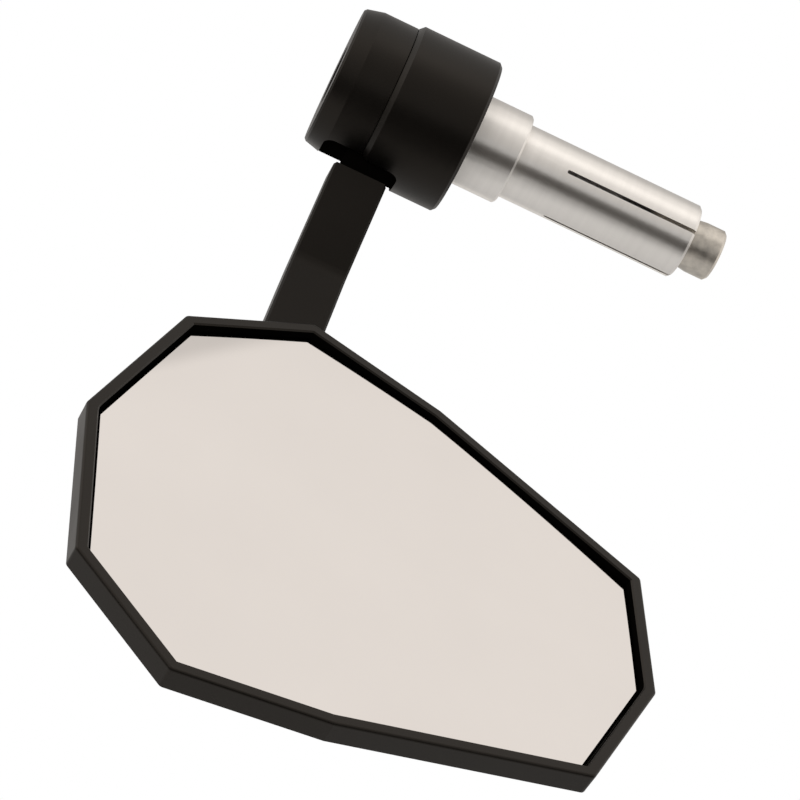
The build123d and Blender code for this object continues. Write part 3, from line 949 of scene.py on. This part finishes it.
def background(tree, tint, strength):
    """Light of one tint from all sides, with a number or a socket for its strength."""
    light = tree.nodes.new("ShaderNodeBackground")
    light.inputs["Color"].default_value = (*tint, 1.0)
    feed(tree, light.inputs["Strength"], strength)
    return light.outputs["Background"]


def mixed(tree, factor, first, second):
    """The first light where the factor is 0, and the second where it is 1."""
    mix = tree.nodes.new("ShaderNodeMixShader")
    tree.links.new(factor, mix.inputs["Fac"])
    tree.links.new(first, mix.inputs[1])
    tree.links.new(second, mix.inputs[2])
    return mix.outputs["Shader"]


def make_studio_world(toward_camera, brow_strength):
    """White to the camera; to reflections, a pale room with dim walls and soft glows."""
    world = bpy.data.worlds.new("studio")
    world.use_nodes = True
    tree = world.node_tree
    tree.nodes.clear()
    output = tree.nodes.new("ShaderNodeOutputWorld")
    path = tree.nodes.new("ShaderNodeLightPath")
    # Each patch: its direction, where its edge starts and ends, and its amount
    walls = (
        (toward_camera, 0.0, 1.0, FRONT_SHADE),
        (BACK_WALL, 0.6, 1.0, BACK_SHADE),
        (LEFT_WALL, -0.149, -0.136, LEFT_SHADE),
    )
    glows = (
        (BROW, 0.952, 0.992, brow_strength),
        (SIDE_GLOW, 0.7, 1.0, SIDE_STRENGTH),
    )
    room = 1.0
    for operation, patches in (("SUBTRACT", walls), ("ADD", glows)):
        for direction, start, end, amount in patches:
            patch = smooth_step(tree, direction_dot(tree, direction), start, end)
            room = combine(tree, operation, room, combine(tree, "MULTIPLY", patch, amount))
    fill = background(tree, FILL_TINT, FILL_STRENGTH)
    lit = mixed(tree, path.outputs["Is Glossy Ray"], fill, background(tree, ROOM_TINT, room))
    clear = combine(tree, "MAXIMUM", path.outputs["Is Camera Ray"], path.outputs["Is Transmission Ray"])
    seen = mixed(tree, clear, lit, background(tree, WHITE, 1.0))
    tree.links.new(seen, output.inputs["Surface"])
    return world


def add_sheet(name, half_size, place, material):
    """A flat, level sheet round a place."""
    bm = bmesh.new()
    bmesh.ops.create_grid(bm, x_segments=1, y_segments=1, size=1.0)
    bmesh.ops.scale(bm, vec=(*half_size, 1.0), verts=bm.verts)
    bmesh.ops.translate(bm, verts=bm.verts, vec=place)
    mesh = bpy.data.meshes.new(name)
    bm.to_mesh(mesh)
    bm.free()
    mesh.materials.append(material)
    sheet = bpy.data.objects.new(name, mesh)
    bpy.context.scene.collection.objects.link(sheet)
    return sheet


def make_floor(height):
    """A wide pale floor that keeps a shadow."""
    material, tree, shader = new_material("pale_floor")
    clouds = noise(tree, FLOOR_CLOUDS, detail=3)
    tree.links.new(tinted(tree, clouds, FLOOR_COLOUR, 0.985, 1.015), shader.inputs["Base Color"])
    shader.inputs["Roughness"].default_value = 0.9
    shader.inputs["Specular IOR Level"].default_value = 0.1
    floor = add_sheet("floor", FLOOR_HALF_SIZE, (0, 0, height), material)


def make_dark_card(height):
    """A dark card just over the floor, before the part, which only reflections see: a painted dark
    reflection on the metal and the black pieces.
    """
    # Painted reflection: the card's dark colour shows only in reflections, as a dark band.
    felt = moulded("card_painted_reflection", CARD_COLOUR, roughness=0.9, grain_marks=300, grain_depth=0.5 * MM)
    card = add_sheet("dark_card", CARD_HALF_SIZE, (0, CARD_FORWARD, height), felt)
    card.visible_camera = False
    card.visible_diffuse = False
    card.visible_transmission = False
    card.visible_shadow = False


def add_lamp(name, place, target, size, power):
    """A round soft lamp that shines at a point and that reflections don't see."""
    lamp = bpy.data.lights.new(name, "AREA")
    lamp.shape = "DISK"
    lamp.size = size
    lamp.energy = power
    lamp.color = LAMP_TINT
    holder = bpy.data.objects.new(name, lamp)
    aim = (target - place).to_track_quat("-Z", "Y").to_matrix().to_4x4()
    holder.matrix_world = Matrix.Translation(place) @ aim
    holder.visible_glossy = False
    bpy.context.scene.collection.objects.link(holder)


class BARMIRROR_OT_stage(bpy.types.Operator):
    """Set the camera, the room, the floor with its card and the lamp"""

    bl_idname = "barmirror.stage"
    bl_label = "Studio"

    def execute(self, context):
        scene = context.scene
        studio = scene.bar_mirror_studio
        right = Vector(studio.camera_right).normalized()
        view = right.cross(Vector(studio.camera_down)).normalized()
        up = right.cross(view)
        camera = bpy.data.cameras.new("camera")
        camera.lens = studio.lens
        camera.sensor_width = SENSOR_WIDTH
        camera.clip_start = CLIP_START
        holder = bpy.data.objects.new("camera", camera)
        aim = Matrix((right, up, -view)).transposed().to_4x4()
        holder.matrix_world = Matrix.Translation(studio.camera_place) @ aim
        scene.collection.objects.link(holder)
        scene.camera = holder
        scene.view_settings.view_transform = "Standard"
        scene.world = make_studio_world(-view, studio.brow_strength)
        make_floor(studio.floor_height)
        make_dark_card(studio.floor_height + CARD_LIFT)
        middle = (CAD_BOX[0] + CAD_BOX[1]) / 2
        place = middle + up * LAMP_UP - right * LAMP_LEFT - view * LAMP_FORWARD
        add_lamp("key", place, middle, LAMP_SIZE, studio.key_power)
        return {"FINISHED"}


STEPS = (
    BARMIRROR_OT_insert,
    BARMIRROR_OT_head,
    BARMIRROR_OT_mirror,
    BARMIRROR_OT_glass,
    BARMIRROR_OT_bolt,
    BARMIRROR_OT_ball_stud,
    BARMIRROR_OT_retainer_screws,
    BARMIRROR_OT_stage,
)


class BARMIRROR_PT_panel(bpy.types.Panel):
    """Steps and settings in the sidebar"""

    bl_idname = "BARMIRROR_PT_panel"
    bl_label = "Bar End Mirror"
    bl_space_type = "VIEW_3D"
    bl_region_type = "UI"
    bl_category = "Bar Mirror"

    def draw(self, context):
        layout = self.layout
        for step in STEPS:
            layout.operator(step.bl_idname)
        scene = context.scene
        for settings in (
            scene.bar_mirror_glass,
            scene.bar_mirror_threads,
            scene.bar_mirror_finishes,
            scene.bar_mirror_studio,
        ):
            box = layout.box()
            for name in settings.__annotations__:
                box.prop(settings, name)


SETTINGS = (BarMirrorGlass, BarMirrorThreads, BarMirrorFinishes, BarMirrorStudio)
CLASSES = (*SETTINGS, *STEPS, BARMIRROR_PT_panel)


def register():
    for item in CLASSES:
        bpy.utils.register_class(item)
    bpy.types.Scene.bar_mirror_glass = bpy.props.PointerProperty(type=BarMirrorGlass)
    bpy.types.Scene.bar_mirror_threads = bpy.props.PointerProperty(type=BarMirrorThreads)
    bpy.types.Scene.bar_mirror_finishes = bpy.props.PointerProperty(type=BarMirrorFinishes)
    bpy.types.Scene.bar_mirror_studio = bpy.props.PointerProperty(type=BarMirrorStudio)


def unregister():
    del bpy.types.Scene.bar_mirror_studio
    del bpy.types.Scene.bar_mirror_finishes
    del bpy.types.Scene.bar_mirror_threads
    del bpy.types.Scene.bar_mirror_glass
    for item in reversed(CLASSES):
        bpy.utils.unregister_class(item)


def main():
    register()
    bpy.ops.barmirror.insert()
    bpy.ops.barmirror.head()
    bpy.ops.barmirror.mirror()
    bpy.ops.barmirror.glass()
    bpy.ops.barmirror.bolt()
    bpy.ops.barmirror.ball_stud()
    bpy.ops.barmirror.retainer_screws()
    bpy.ops.barmirror.stage()


if __name__ == "__main__":
    main()
